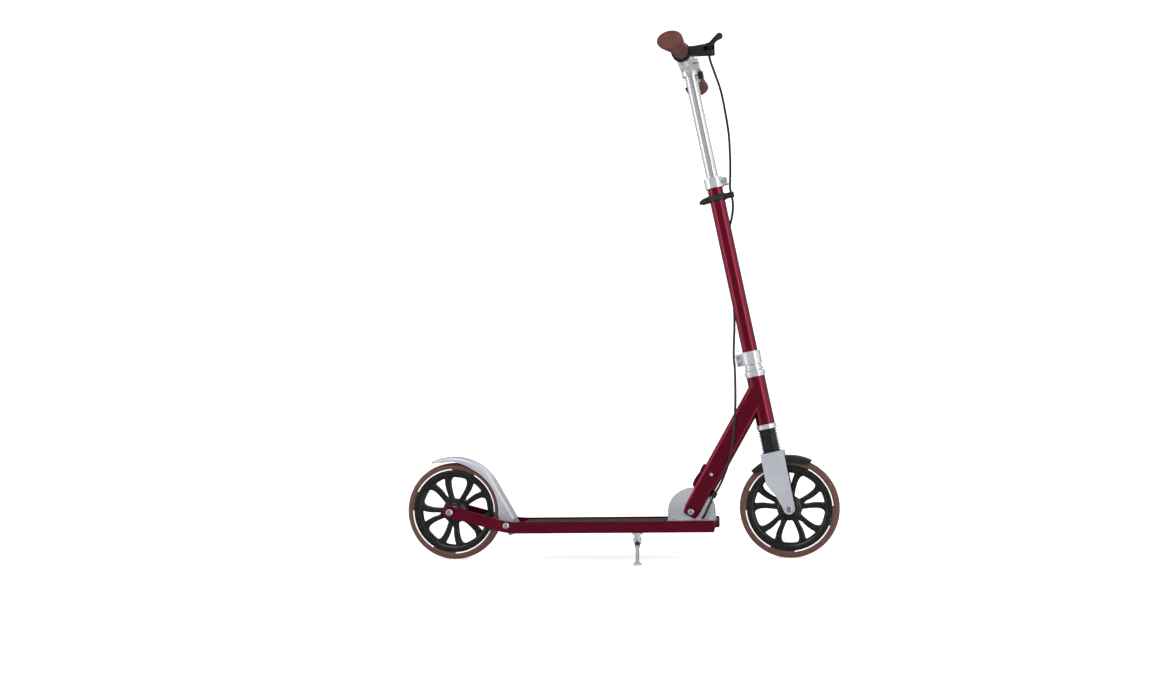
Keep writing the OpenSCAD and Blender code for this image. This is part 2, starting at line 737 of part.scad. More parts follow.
inner_r = inner_d / 2;
inner_wall = 1.6;
inner_s0 = steerer_s1 + drop_travel + 23;
inner_s1 = bar_s - 16;
button_s = bar_s - 49;
button_r = 3.5;
bar_r = 14;
module inner_tube()
    color(SILVER) difference() {
        union() {
            on_steering(inner_s0) cylinder(r = inner_r, h = inner_s1 - inner_s0);
            on_steering(inner_s0) cylinder(r = steerer_r + 0.05, h = 12);
        }
        on_steering(inner_s0 - 1) cylinder(r = inner_r - inner_wall, h = 500);
        on_steering(button_s) rotate([0, -90, 0]) cylinder(r = button_r + 0.1, h = 20);
    }
housing_w = 74;
housing_r = 19;
sleeve_r = 17.5;
sleeve_h = 25;
module bar_housing()
    color(SILVER) on_steering(bar_s) difference() {
        union() {
            y_bar(housing_r, housing_w);
            translate([0, 0, -sleeve_h]) cylinder(r = sleeve_r, h = sleeve_h);
            translate([6, -clamp_ear_w / 2, -knob_top]) cube([19, clamp_ear_w, knob_top + 4]);
        }
        y_bar(bar_r + 0.05, housing_w + 2);
        translate([0, 0, -sleeve_h - 1]) cylinder(r = inner_r + 0.02, h = sleeve_h);
        translate([10, -housing_w, -8.2]) cube([20, 2 * housing_w, 2.4]);
        translate([knob_x, 0, -sleeve_h - 1]) cylinder(r = knob_r + 0.1, h = sleeve_h + 1 - knob_top);
    }
clamp_ear_w = 60;
knob_x = 21;
knob_r = 6.2;
knob_top = 20;
knob_h = 13;
module housing_knob()
    color(BLACK) on_steering(bar_s) translate([knob_x, 0, -knob_top - 0.1 - knob_h]) {
        cylinder(r = knob_r, h = knob_h);
        translate([0, 0, -2]) cylinder(r1 = knob_r - 1.6, r2 = knob_r, h = 2);
    }
grip_in = 141;
bar_wall = 2.5;
module handlebar_tube()
    color(SILVER) on_steering(bar_s) difference() {
        y_bar(bar_r, 2 * bar_half_w - 14);
        y_bar(bar_r - bar_wall, 2 * bar_half_w);
    }

// each station: distance out, radius round the bar, how far back the palm rest sits, its radius
GRIP_STATIONS = [[0, 15.8, 0, 15], [0.24, 16.4, 0, 16], [0.5, 16.6, 7, 13.5], [0.8, 17.6, 17, 14],
    [0.95, 18, 19.5, 13.5], [1, 15, 19.5, 9.5]];
module grip()
    color(BROWN) difference() {
        for (i = [0 : 4]) hull($fn = HULL_FN) {
            grip_station(GRIP_STATIONS[i]);
            grip_station(GRIP_STATIONS[i + 1]);
        }
        translate([0, -bar_half_w + 5, 0]) rotate([-90, 0, 0]) cylinder(r = bar_r + 0.05, h = 200);
    }
module grip_station(g)
    translate([0, -grip_in - g[0] * (bar_half_w - grip_in - 0.5), 0]) {
        y_bar(g[1], 1, $fn = HULL_FN);
        translate([-g[2], 0, 1]) y_bar(g[3], 1, $fn = HULL_FN);
    }
module grip_right() on_steering(bar_s) grip();
module grip_left() on_steering(bar_s) mirror([0, 1, 0]) grip();

module height_button()
    color(BLACK) on_steering(button_s) rotate([0, -90, 0]) translate([0, 0, 8])
        cylinder(r = button_r, h = 8.5);

// ---- brake lever: its frame is level, at the handlebar's centre ----

module on_bar() on_steering(bar_s) rotate([0, head_angle, 0]) children();
lever_px = 60;
lever_py = -147;
ring_y = -133;
ring_w = 14;
body_h = 19;
slot_h = 9;
module brake_bracket()
    color(BLACK) on_bar() difference() {
        union() {
            translate([0, ring_y, 0]) y_bar(19.5, ring_w);
            translate([0, 0, -body_h / 2]) linear_extrude(height = body_h)
                polygon([[10, ring_y + 7], [10, ring_y - 7], [18, ring_y - 7.3],
                    [34, ring_y - 11], [lever_px - 4, lever_py - 9],
                    [lever_px + 7, lever_py - 7], [lever_px + 10, lever_py],
                    [lever_px + 8, lever_py + 16], [lever_px, ring_y + 10],
                    [30, ring_y + 9]]);
            translate([lever_px + 1, lever_py, -13]) cylinder(r = 9, h = 24);
        }
        translate([0, ring_y, 0]) y_bar(bar_r + 0.05, 40);
        translate([lever_px - 12.5, lever_py - 30, -slot_h / 2]) cube([56, 39, slot_h]);
        translate([lever_px, lever_py, -20]) cylinder(r = 2.55, h = 40);
    }
lever_h = 8;
tip_x = 89;
tip_y = -258;
module brake_lever()
    color(BLACK) on_bar() {
            translate([0, 0, -lever_h / 2]) linear_extrude(height = lever_h)
                union() {
                    translate([lever_px, lever_py]) circle(r = 7);
                    polygon([[lever_px + 7, lever_py], [66, -163], [70, -184], [79, -212],
                        [86, -237], [tip_x + 4, tip_y + 5], [tip_x - 4, tip_y - 2],
                        [76, -238], [68, -214], [59, -188], [55, -168],
                        [lever_px - 7, lever_py]]);
                }
            translate([tip_x, tip_y, 0]) sphere(r = 6.8);
            translate([lever_px, lever_py, -body_h / 2 - 1.5]) cylinder(r = 2.45, h = body_h + 3);
        }

// ---- fork ----

crown_s = steerer_s0 - fork_travel - 2.5;
crown_h = 10.5;
leg_y = 22;
leg_t = 5;
stem_top_s = 300;
module fork_crown()
    color(SATIN) on_steering(crown_s) difference() {
        union() {
            translate([-23, -leg_y + 0.05, -crown_h]) cube([48, 2 * leg_y - 0.1, crown_h]);
            cylinder(r = steerer_bore_r - 0.05, h = stem_top_s - crown_s);
        }
        translate([0, 0, 4]) cylinder(r = 9, h = 200);
    }
// one leg plate, seen from the side, drawn about the steering axis
module leg_side()
    polygon(concat([[-23, crown_s], [25, crown_s]],
        arc(fork_offset, axle_s, 12, 5, -155, 10),
        [[-2.2, axle_s + 8], [-11, axle_s + 33], [-18, axle_s + 45], [-24, axle_s + 57]]));
module fork_leg()
    color(SATIN) on_steering() difference() {
        translate([0, -leg_y - leg_t / 2, 0]) y_plate(leg_t) leg_side();
        translate([fork_offset, -leg_y, axle_s]) y_bar(axle_r + 0.05, 40);
    }
module fork_leg_right() fork_leg();
module fork_leg_left() mirror([0, 1, 0]) fork_leg();

guard_r = 108.5;
guard_t = 2.5;
guard_w = 41;
guard_a0 = 64;
guard_a1 = 134.5;
module front_fender()
    color(BLACK) at_front_axle() {
        y_plate(guard_w) polygon(concat(arc(0, 0, guard_r, guard_a0, guard_a1, 14),
            arc(0, 0, guard_r - guard_t, guard_a1, guard_a0, 14)));
        for (s = [-1, 1]) translate([0, s * (guard_w / 2 - 1), 0]) y_plate(2)
            polygon(concat(arc(0, 0, guard_r - guard_t + 0.5, guard_a0, guard_a1, 14),
                arc(0, 0, guard_r - 13, guard_a1 - 6, guard_a0 + 6, 14)));
    }
module front_axle()
    color(STEEL) at_front_axle() {
        y_bar(axle_r, 2 * (leg_y + leg_t) + 4);
        translate([0, -leg_y - leg_t - 0.1, 0]) y_head(7, 4.5, 1);
        translate([0, leg_y + leg_t + 0.1, 0]) y_head(7, 4.5, -1);
        for (s = [-1, 1])
            translate([0, s * (leg_y + hub_half) / 2, 0]) difference() {
                y_bar(spacer_r, leg_y - hub_half - 0.6);
                y_bar(axle_r + 0.05, 60);
            }
    }

coil_turns = 7;
coil_r = 10.3;
coil_wire = 1.4;
module suspension_spring()
    color(STEEL) on_steering(stem_top_s + coil_wire + 0.3) sweep(
        [for (i = [0 : coil_turns * 10]) let (a = 36 * i)
            [coil_r * cos(a), coil_r * sin(a),
                (spring_top_s - stem_top_s - 2 * coil_wire - 0.8) * i / (coil_turns * 10)]],
        coil_wire, 6, [1, 0, 0]);

bellows_ribs = 10;
bellows_s0 = crown_s + 0.3;
bellows_s1 = head_s0 - 10;
bellows_pitch = (bellows_s1 - bellows_s0) / bellows_ribs;
module bellows()
    color(BLACK) on_steering(bellows_s0) rotate_extrude()
        polygon(concat([[15.2, 0]],
            [for (i = [0 : bellows_ribs - 1], k = [0 : 2])
                [k == 1 ? 19.4 : 17.4, bellows_pitch * (i + k / 2)]],
            [[15.2, bellows_pitch * bellows_ribs]]));

// ---- brake cable, from the hand lever to the arm under the rear fender ----

// Each of the first two routes is in the steering frame: forward of the axis, to the
// left, and up the axis. The third is in the down tube's frame, and the last in the world's.
UPPER_ROUTE = [[54.2, -136, 1031.3], [54.4, -135, 1018], [57, -126, 996], [60.5, -106, 961],
    [59, -82, 922], [55, -57, 879], [47, -32, 839], [38, -11, 803], [32.6, -2, 785],
    [31, 0, 776], [31, 0, 772]];
MIDDLE_ROUTE = [[31, 0, 771.5], [31, 0, 763], [31, 0, 754], [29.5, 1.5, 742], [25, 6, 727],
    [17.5, 13.5, 711], [8, 20, 695], [0, 21.8, 675], [-6, 21.8, 640], [-9, 21.5, 600],
    [-12, 20.5, 560], [-16, 16.5, 525], [-22, 10, 492], [-29, 4, 462], [-35.5, 0, 432],
    [-38, -3, 410], [-42, -11, 384], [-46.5, -20.5, 357], [-52, -24, 331], [-61, -24.5, 297],
    [-75, -24.5, 253], [-92, -24.5, 216], [-109.5, -24.5, 188], [-120.3, -20.5, 174],
    [-128.4, -19, 165.3]];
LOWER_ROUTE = [[25.5, -19, 62.4], [25.5, -19, 55], [25.5, -19, 47], [26, -20.5, 37],
    [27, -22, 24], [28, -22.5, 12], [27.8, -22.5, 3], [28.7, -22.5, -4]];
DECK_ROUTE = [[176, -22.5, 78], [175, -22, 72.5], [168, -19, 68.5], [152, -10, 67], [130, -2, 67],
    [105, 0, 67], [40, 0, 67], [-40, 0, 67], [-120, 0, 67], [-178, 0, 67], [-198, 0, 66],
    [-211, 0, 61.5], [-219, 0, 57.6], [-225.8, 0, 56.2]];
function from_steering(p) =
    [steer_x + p[0] * cos(head_angle) - p[2] * sin(head_angle), p[1],
        p[0] * sin(head_angle) + p[2] * cos(head_angle)];
function from_down_tube(p) =
    [pivot_x + p[0] * sin(tube_angle) + p[2] * cos(tube_angle), p[1],
        pivot_z - p[0] * cos(tube_angle) + p[2] * sin(tube_angle)];
module brake_cable_upper() cord([for (p = UPPER_ROUTE) from_steering(p)]);
module brake_cable_middle() cord([for (p = MIDDLE_ROUTE) from_steering(p)]);
module brake_cable_lower() cord([for (p = LOWER_ROUTE) from_down_tube(p)]);
module brake_cable_deck() cord(DECK_ROUTE);

side_rail_right();
side_rail_left();
deck_plate();
grip_tape();
cross_members();
fold_bracket();
fold_pivot_pin();
rear_axle();
fender_pivot_bolt();
fender_spring();
kickstand_bracket();
deck_bolts();
brake_cable_deck();
rear_tyre();
rear_rim();
rear_bearings();
rear_fender();
brake_pad();
cable_anchor();
kickstand_leg();
kickstand_spring();
down_tube();
head_tube();
headset_cups();
headset_bearings();
latch_pivot_pin();
down_tube_clip();
fold_lever();
latch_bolt();
column_tube();
steerer();
column_clamp();
clamp_bolts();
headset_locknut();
height_collar();
column_clip();
quick_release_skewer();
quick_release_lever();
inner_tube();
bar_housing();
housing_knob();
handlebar_tube();
grip_right();
grip_left();
brake_bracket();
height_button();
brake_lever();
fork_crown();
fork_leg_right();
fork_leg_left();
front_fender();
front_axle();
suspension_spring();
bellows();
front_tyre();
front_rim();
front_bearings();
brake_cable_upper();
brake_cable_middle();
brake_cable_lower();
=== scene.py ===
"""Looks of a folding kick scooter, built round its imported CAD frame.

Everything is in metres in the CAD frame: +X forward, +Y the rider's left, +Z up, with the
origin on the ground midway between the axles. Small sizes are written in millimetres and
multiplied by MM.
"""
import json
import math

import bmesh
import bpy
from mathutils import Matrix, Vector


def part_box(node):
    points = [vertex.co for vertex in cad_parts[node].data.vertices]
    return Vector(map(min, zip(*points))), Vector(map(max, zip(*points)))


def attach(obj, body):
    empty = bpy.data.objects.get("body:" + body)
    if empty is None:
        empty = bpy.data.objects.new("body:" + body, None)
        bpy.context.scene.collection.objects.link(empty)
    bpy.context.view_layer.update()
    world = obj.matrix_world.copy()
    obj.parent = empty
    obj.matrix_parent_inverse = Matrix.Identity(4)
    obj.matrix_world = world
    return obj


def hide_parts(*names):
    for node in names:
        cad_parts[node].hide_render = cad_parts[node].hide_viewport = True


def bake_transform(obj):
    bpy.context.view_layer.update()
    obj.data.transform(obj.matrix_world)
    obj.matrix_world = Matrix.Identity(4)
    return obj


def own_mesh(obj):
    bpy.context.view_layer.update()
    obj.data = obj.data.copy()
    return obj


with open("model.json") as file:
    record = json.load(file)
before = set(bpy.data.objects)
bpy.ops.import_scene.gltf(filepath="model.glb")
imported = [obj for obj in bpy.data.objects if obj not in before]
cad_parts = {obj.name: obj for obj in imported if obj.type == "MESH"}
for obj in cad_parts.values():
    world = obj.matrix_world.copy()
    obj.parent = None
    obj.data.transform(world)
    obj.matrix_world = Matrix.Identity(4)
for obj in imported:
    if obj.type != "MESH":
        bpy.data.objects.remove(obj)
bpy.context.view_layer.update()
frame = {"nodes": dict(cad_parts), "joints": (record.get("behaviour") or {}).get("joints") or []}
NODES = frame["nodes"]
JOINTS = {joint["name"]: joint for joint in frame["joints"]}
MM = 0.001
TAU = 2 * math.pi


# ---- places, read from the frame ----

def frame_at(origin, x, z):
    """A frame whose x and z run along the given directions."""
    m = Matrix((x, z.cross(x), z)).transposed().to_4x4()
    m.translation = origin
    return m


def centre_of(node):
    low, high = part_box(node)
    return (low + high) / 2


def joint_place(name):
    return Vector(JOINTS[name]["pos_m"])


STEER_AXIS = Vector(JOINTS["steering"]["axis"]).normalized()
STEER_FORWARD = Vector((STEER_AXIS.z, 0, -STEER_AXIS.x))
STEER_POINT = joint_place("steering")
# on the ground under the steering axis, with z up the axis and x forward
STEER = frame_at(STEER_POINT - STEER_AXIS * (STEER_POINT.z / STEER_AXIS.z), STEER_FORWARD, STEER_AXIS)
TUBE_AXIS = Vector(JOINTS["latch_slide"]["axis"]).normalized()
# at the fold pivot, with z up the down tube and x forward and down
TUBE = frame_at(joint_place("fold"), Vector((TUBE_AXIS.z, 0, -TUBE_AXIS.x)), TUBE_AXIS)
REAR_AXLE = centre_of("rear_rim")
FRONT_AXLE = centre_of("front_rim")
BAR = centre_of("handlebar_tube")
FENDER_HINGE = joint_place("fender_brake")
LEVEL = frame_at(Vector((0, 0, 0)), Vector((1, 0, 0)), Vector((0, 0, 1)))


def sideways(place):
    """A frame at place whose z runs along +Y and whose x and y are the side view's X and -Z."""
    return frame_at(place, Vector((1, 0, 0)), Vector((0, 1, 0)))


# ---- materials ----

class Shader:
    """One procedural material: a Principled shader and the textures that feed it."""

    def __init__(self, name, **values):
        self.material = bpy.data.materials.new(name)
        self.material.use_nodes = True
        self.nodes = self.material.node_tree.nodes
        self.links = self.material.node_tree.links
        self.surface = self.nodes["Principled BSDF"]
        self.position = self.nodes.new("ShaderNodeTexCoord").outputs["Object"]
        for socket, value in values.items():
            self.surface.inputs[socket.replace("_", " ")].default_value = value

    def join(self, source, node, socket):
        self.links.new(source, node.inputs[socket])
        return node

    def stretched(self, scale):
        """The position, with each axis multiplied, so that a texture draws out along the others."""
        node = self.nodes.new("ShaderNodeMapping")
        node.inputs["Scale"].default_value = scale
        return self.join(self.position, node, "Vector").outputs["Vector"]

    def noise(self, scale, detail=4, position=None, roughness=0.55):
        node = self.nodes.new("ShaderNodeTexNoise")
        node.inputs["Scale"].default_value = scale
        node.inputs["Detail"].default_value = detail
        node.inputs["Roughness"].default_value = roughness
        return self.join(position or self.position, node, "Vector").outputs["Fac"]

    def cells(self, scale):
        node = self.nodes.new("ShaderNodeTexVoronoi")
        node.inputs["Scale"].default_value = scale
        return self.join(self.position, node, "Vector").outputs["Distance"]

    def spread(self, fac, low, high, start=0.3, end=0.7):
        """Turns a texture into values from low to high, and may take colours too."""
        node = self.nodes.new("ShaderNodeValToRGB")
        for element, place, value in zip(node.color_ramp.elements, (start, end), (low, high)):
            element.position = place
            element.color = (*value, 1) if isinstance(value, tuple) else (value, value, value, 1)
        return self.join(fac, node, "Fac").outputs["Color"]

    def feed(self, socket, source):
        self.links.new(source, self.surface.inputs[socket])
        return self

    def bump(self, height, depth, strength=1.0):
        node = self.nodes.new("ShaderNodeBump")
        node.inputs["Strength"].default_value = strength
        node.inputs["Distance"].default_value = depth
        self.join(height, node, "Height")
        return self.feed("Normal", node.outputs["Normal"])

    def maths(self, operation, first, second):
        node = self.nodes.new("ShaderNodeMath")
        node.operation = operation
        for socket, value in zip(node.inputs, (first, second)):
            if isinstance(value, (int, float)):
                socket.default_value = value
            else:
                self.links.new(value, socket)
        return node.outputs[0]


def painted():
    """Metallic burgundy under a clear coat, with a fine flake and a faint orange peel."""
    s = Shader("burgundy_paint", Metallic=0.85, Coat_Weight=0.4, Coat_Roughness=0.05)
    s.feed("Base Color", s.spread(s.noise(1800, 2), (0.15, 0.0, 0.013), (0.235, 0.0, 0.031)))
    s.feed("Roughness", s.spread(s.noise(60, 3), 0.27, 0.36))
    return s.bump(s.noise(420, 2), 0.00006, 0.35).material


def metal(name, dark, light, rough, drawn, grain, bare=1.0):
    """A metal whose fine lines are drawn out along one axis."""
    s = Shader(name, Metallic=bare)
    lines = s.noise(grain, 5, s.stretched(drawn), 0.7)
    s.feed("Base Color", s.spread(lines, dark, light))
    s.feed("Roughness", s.spread(s.noise(35, 4), rough[0], rough[1]))
    return s.bump(lines, 0.000004, 0.1).material


def satin():
    """Fine-blasted pale aluminium, a little blue."""
    s = Shader("satin_alloy", Metallic=0.62)
    grain = s.noise(2600, 3)
    s.feed("Base Color", s.spread(s.noise(14, 4), (0.57, 0.595, 0.66), (0.65, 0.67, 0.73)))
    s.feed("Roughness", s.spread(grain, 0.36, 0.5))
    return s.bump(grain, 0.00005, 0.4).material


def plastic(name, colour, rough, grain=1500, depth=0.00006, coat=0.0):
    """Moulded plastic or rubber with a fine grain and faint handling marks."""
    s = Shader(name, Coat_Weight=coat, Coat_Roughness=0.12, Specular_IOR_Level=0.32)
    lighter = tuple(min(1.0, c * 1.6 + 0.004) for c in colour)
    s.feed("Base Color", s.spread(s.noise(90, 5), colour, lighter, 0.35, 0.8))
    s.feed("Roughness", s.spread(s.noise(45, 4), rough[0], rough[1]))
    return s.bump(s.noise(grain, 3), depth, 0.6).material


# how much of the deck plate's front end is painted
PAINTED_END = 1.5 * MM


def deck_finish():
    """Black plank with its front end painted like the rails."""
    s = Shader("deck_black", Specular_IOR_Level=0.32)
    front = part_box("deck_plate")[1].x - PAINTED_END
    along = s.join(s.position, s.nodes.new("ShaderNodeSeparateXYZ"), 0).outputs["X"]
    colour = s.nodes.new("ShaderNodeMix")
    colour.data_type = "RGBA"
    s.links.new(s.spread(s.noise(90, 5), (0.009, 0.009, 0.010), (0.018, 0.018, 0.020)), colour.inputs["A"])
    s.links.new(s.spread(s.noise(1800, 2), (0.10, 0.0, 0.006), (0.16, 0.0, 0.015)), colour.inputs["B"])
    s.links.new(s.maths("GREATER_THAN", along, front), colour.inputs["Factor"])
    s.feed("Base Color", colour.outputs["Result"])
    s.feed("Roughness", s.spread(s.noise(45, 4), 0.32, 0.45))
    return s.bump(s.noise(700, 3), 0.00006, 0.6).material


def grit():
    """Grip tape: coarse black grit with a few bright grains."""
    s = Shader("grip_tape", Specular_IOR_Level=0.6)
    grains = s.cells(900)
    s.feed("Base Color", s.spread(grains, (0.10, 0.10, 0.105), (0.012, 0.012, 0.013), 0.05, 0.28))
    s.feed("Roughness", s.spread(grains, 0.35, 0.95, 0.05, 0.3))
    return s.bump(grains, 0.0006, 0.9).material


# the white ring's two radii, and half the width in degrees of its two long and two short gaps
RING_IN, RING_OUT = 87.6 * MM, 90.0 * MM
LONG_GAP, SHORT_GAP = 16.5, 13.5


def tyre_rubber(name, axle, turn):
    """Brown tread, and a black side with a broken white ring, worked out from the wheel's centre."""
    s = Shader(name, Specular_IOR_Level=0.45)
    offset = s.nodes.new("ShaderNodeVectorMath")
    offset.operation = "SUBTRACT"
    offset.inputs[1].default_value = axle
    s.join(s.position, offset, 0)
    parts = s.join(offset.outputs[0], s.nodes.new("ShaderNodeSeparateXYZ"), 0).outputs
    across = s.maths("MULTIPLY", parts["X"], parts["X"])
    up = s.maths("MULTIPLY", parts["Z"], parts["Z"])
    radius = s.maths("SQRT", s.maths("ADD", across, up), 0.0)
    angle = s.maths("DEGREES", s.maths("ARCTAN2", parts["Z"], parts["X"]), 0.0)
    half_turn = s.maths("PINGPONG", s.maths("SUBTRACT", angle, turn), 90.0)
    past_long = s.maths("GREATER_THAN", half_turn, LONG_GAP)
    before_short = s.maths("LESS_THAN", half_turn, 90.0 - SHORT_GAP)
    past_inner = s.maths("GREATER_THAN", radius, RING_IN)
    in_ring = s.maths("MULTIPLY", past_inner, s.maths("LESS_THAN", radius, RING_OUT))
    white = s.maths("MULTIPLY", in_ring, s.maths("MULTIPLY", past_long, before_short))
    brown = s.spread(s.noise(70, 5), (0.072, 0.026, 0.019), (0.115, 0.045, 0.034))
    side = s.nodes.new("ShaderNodeMix")
    side.data_type = "RGBA"
    side.inputs["A"].default_value = (0.012, 0.011, 0.012, 1)
    s.links.new(brown, side.inputs["B"])
    s.links.new(s.maths("GREATER_THAN", radius, (RING_IN + RING_OUT) / 2), side.inputs["Factor"])
    ringed = s.nodes.new("ShaderNodeMix")
    ringed.data_type = "RGBA"
    s.links.new(side.outputs["Result"], ringed.inputs["A"])
    ringed.inputs["B"].default_value = (0.82, 0.80, 0.80, 1)
    s.links.new(white, ringed.inputs["Factor"])
    s.feed("Base Color", ringed.outputs["Result"])
    s.feed("Roughness", s.spread(s.noise(50, 4), 0.38, 0.55))
    return s.bump(s.noise(1300, 3), 0.00008, 0.5).material


PAINT = painted()
POLISHED = metal("polished_alloy", (0.62, 0.63, 0.66), (0.72, 0.73, 0.76), (0.12, 0.22),
                 (1, 1, 0.06), 900, 0.62)
DRAWN = metal("drawn_tube", (0.68, 0.67, 0.69), (0.73, 0.72, 0.74), (0.24, 0.28), (1, 1, 0.06), 900, 0.85)
BRUSHED = metal("brushed_alloy", (0.58, 0.60, 0.64), (0.76, 0.78, 0.82), (0.26, 0.36), (0.08, 1, 0.08), 700)
ZINC = metal("zinc_steel", (0.62, 0.63, 0.65), (0.80, 0.81, 0.83), (0.22, 0.38), (1, 1, 1), 500)
SPRING = metal("spring_steel", (0.20, 0.20, 0.21), (0.36, 0.36, 0.37), (0.25, 0.4), (1, 1, 1), 600)
SATIN = satin()
GLOSS_BLACK = plastic("gloss_black", (0.005, 0.005, 0.006), (0.22, 0.32), 900, 0.00003, 0.3)
BLACK = plastic("matte_black", (0.008, 0.008, 0.009), (0.42, 0.58))
DECK_FINISH = deck_finish()
RUBBER = plastic("black_rubber", (0.006, 0.006, 0.007), (0.30, 0.42), 1100, 0.00003, 0.3)
BOOT = plastic("boot_rubber", (0.005, 0.005, 0.006), (0.14, 0.2), 900, 0.00002, 1.0)
CABLE = plastic("cable_sleeve", (0.007, 0.007, 0.008), (0.22, 0.32), 600, 0.00003, 0.2)
BROWN = plastic("brown_rubber", (0.085, 0.026, 0.020), (0.42, 0.56), 1600, 0.00010)
GRIT = grit()


def dress(obj, material):
    obj.data.materials.clear()
    obj.data.materials.append(material)
    return obj


# ---- mesh tools ----

def piece(name, verts, faces, material):
    """A smooth-shaded mesh object at the origin, whose place is in its points."""
    mesh = bpy.data.meshes.new(name)
    mesh.from_pydata([tuple(v) for v in verts], [], faces)
    mesh.validate()
    bm = bmesh.new()
    bm.from_mesh(mesh)
    bmesh.ops.recalc_face_normals(bm, faces=bm.faces)
    bm.to_mesh(mesh)
    bm.free()
    mesh.shade_smooth()
    obj = bpy.data.objects.new(name, mesh)
    bpy.context.scene.collection.objects.link(obj)
    return dress(obj, material)


def fit(obj, body, *nodes):
    """The piece rides on a body, and stands for CAD nodes if any are named."""
    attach(obj, body)
    if nodes:
        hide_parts(*nodes)
    return obj


def crisp(obj, width=0.5, angle=35, segments=2):
    """Rounds the hard edges a little, so that they catch the light."""
    weld = obj.modifiers.new("weld", "WELD")
    weld.merge_threshold = 0.002 * MM
    planes = obj.modifiers.new("planes", "DECIMATE")
    planes.decimate_type = "DISSOLVE"
    planes.angle_limit = math.radians(0.5)
    bevel = obj.modifiers.new("edge", "BEVEL")
    bevel.width = width * MM
    bevel.segments = segments
    bevel.limit_method = "ANGLE"
    bevel.angle_limit = math.radians(angle)
    obj.data.shade_smooth()
    obj.modifiers.new("normals", "WEIGHTED_NORMAL").keep_sharp = False
    return obj


def rings(name, loops, material, closed=False, caps=True):
    """A skin over loops of points, which all have the same number of points."""
    n = len(loops[0])
    count = len(loops)
    verts = [p for loop in loops for p in loop]
    faces = []
    for i in range(count if closed else count - 1):
        a, b = i * n, ((i + 1) % count) * n
        faces += [(a + k, a + (k + 1) % n, b + (k + 1) % n, b + k) for k in range(n)]
    if caps and not closed:
        faces.append(tuple(range(n)))
        faces.append(tuple(range((count - 1) * n, count * n)))
    return piece(name, verts, faces, material)


def lathe(name, outline, place, material, segments=128):
    """A closed outline of (radius, height) in millimetres, turned about place's z axis."""
    loops = []
    for i in range(segments):
        c, s = math.cos(TAU * i / segments), math.sin(TAU * i / segments)
        loops.append([place @ (Vector((r * c, r * s, z)) * MM) for r, z in outline])
    return rings(name, loops, material, closed=True)


def smooth_line(points, steps):
    """Catmull-Rom points through the given ones."""
    line = []
    for i in range(len(points) - 1):
        a, b = points[max(i - 1, 0)], points[i]
        c, d = points[i + 1], points[min(i + 2, len(points) - 1)]
        for j in range(steps):
            t = j / steps
            line.append(0.5 * (2 * b + (c - a) * t + (2 * a - 5 * b + 4 * c - d) * t * t
                               + (3 * b - a - 3 * c + d) * t ** 3))
    return line + [points[-1]]


def swept(name, line, radii, material, sides=20):
    """A round tube along a line, with one radius or a radius for each point."""
    normal = Vector((0, 1, 0))
    loops = []
    for i, point in enumerate(line):
        along = (line[min(i + 1, len(line) - 1)] - line[max(i - 1, 0)]).normalized()
        normal = (normal - along * normal.dot(along)).normalized()
        across = along.cross(normal)
        r = radii[i] if isinstance(radii, list) else radii
        loops.append([point + (normal * math.cos(TAU * k / sides) + across * math.sin(TAU * k / sides)) * r
                      for k in range(sides)])
    return rings(name, loops, material)


def plate(name, outlines, thickness, edge, place, material):
    """A flat plate with rounded edges. The first outline is its rim and the others are holes,
    in millimetres in place's x and y; its thickness is along place's z."""
    curve = bpy.data.curves.new(name, "CURVE")
    curve.dimensions = "2D"
    curve.fill_mode = "BOTH"
    curve.extrude = (thickness / 2 - edge) * MM
    curve.bevel_depth = edge * MM
    curve.offset = -edge * MM
    curve.bevel_resolution = 3
    for outline in outlines:
        spline = curve.splines.new("POLY")
        spline.points.add(len(outline) - 1)
        for point, (x, y) in zip(spline.points, outline):
            point.co = (x * MM, y * MM, 0, 1)
        spline.use_cyclic_u = True
    holder = bpy.data.objects.new(name + "_curve", curve)
    bpy.context.scene.collection.objects.link(holder)
    bpy.context.view_layer.update()
    mesh = bpy.data.meshes.new_from_object(holder.evaluated_get(bpy.context.evaluated_depsgraph_get()))
    bpy.data.objects.remove(holder)
    mesh.transform(place)
    obj = bpy.data.objects.new(name, mesh)
    mesh.shade_smooth()
    bpy.context.scene.collection.objects.link(obj)
    weld = obj.modifiers.new("weld", "WELD")
    weld.merge_threshold = 0.002 * MM
    obj.modifiers.new("normals", "WEIGHTED_NORMAL").keep_sharp = False
    return dress(obj, material)


def arc(cx, cy, r, a0, a1, n):
    """Points of an arc from a0 to a1 degrees."""
    angles = [math.radians(a0 + (a1 - a0) * i / n) for i in range(n + 1)]
    return [(cx + r * math.cos(a), cy + r * math.sin(a)) for a in angles]


# ---- camera, floor and lights ----

def add_camera():
    """The camera of the photograph: low, to the right of the scooter and a little ahead of it."""
    yaw, pitch, roll = math.radians(10.36), math.radians(-1.696), math.radians(1.295)
    back = Vector((math.sin(yaw) * math.cos(pitch), -math.cos(yaw) * math.cos(pitch), math.sin(pitch)))
    right = Vector((math.cos(yaw), math.sin(yaw), 0))
    up = back.cross(right)
    turned_right = right * math.cos(roll) - up * math.sin(roll)
    turned_up = right * math.sin(roll) + up * math.cos(roll)
    m = Matrix((turned_right, turned_up, back)).transposed().to_4x4()
    m.translation = Vector((0.52044, -3.32313, 0.35105))
    data = bpy.data.cameras.new("camera")
    data.lens = 49.84
    data.sensor_width = 36
    data.clip_start = 0.05
    camera = bpy.data.objects.new("camera", data)
    camera.matrix_world = m
    bpy.context.scene.collection.objects.link(camera)
    bpy.context.scene.camera = camera


FLOOR_R, COVE_R, WALL_TOP = 5.0, 2.0, 6.5
FLOOR_SIDES = 96
FLOOR_GLOW = 0.50


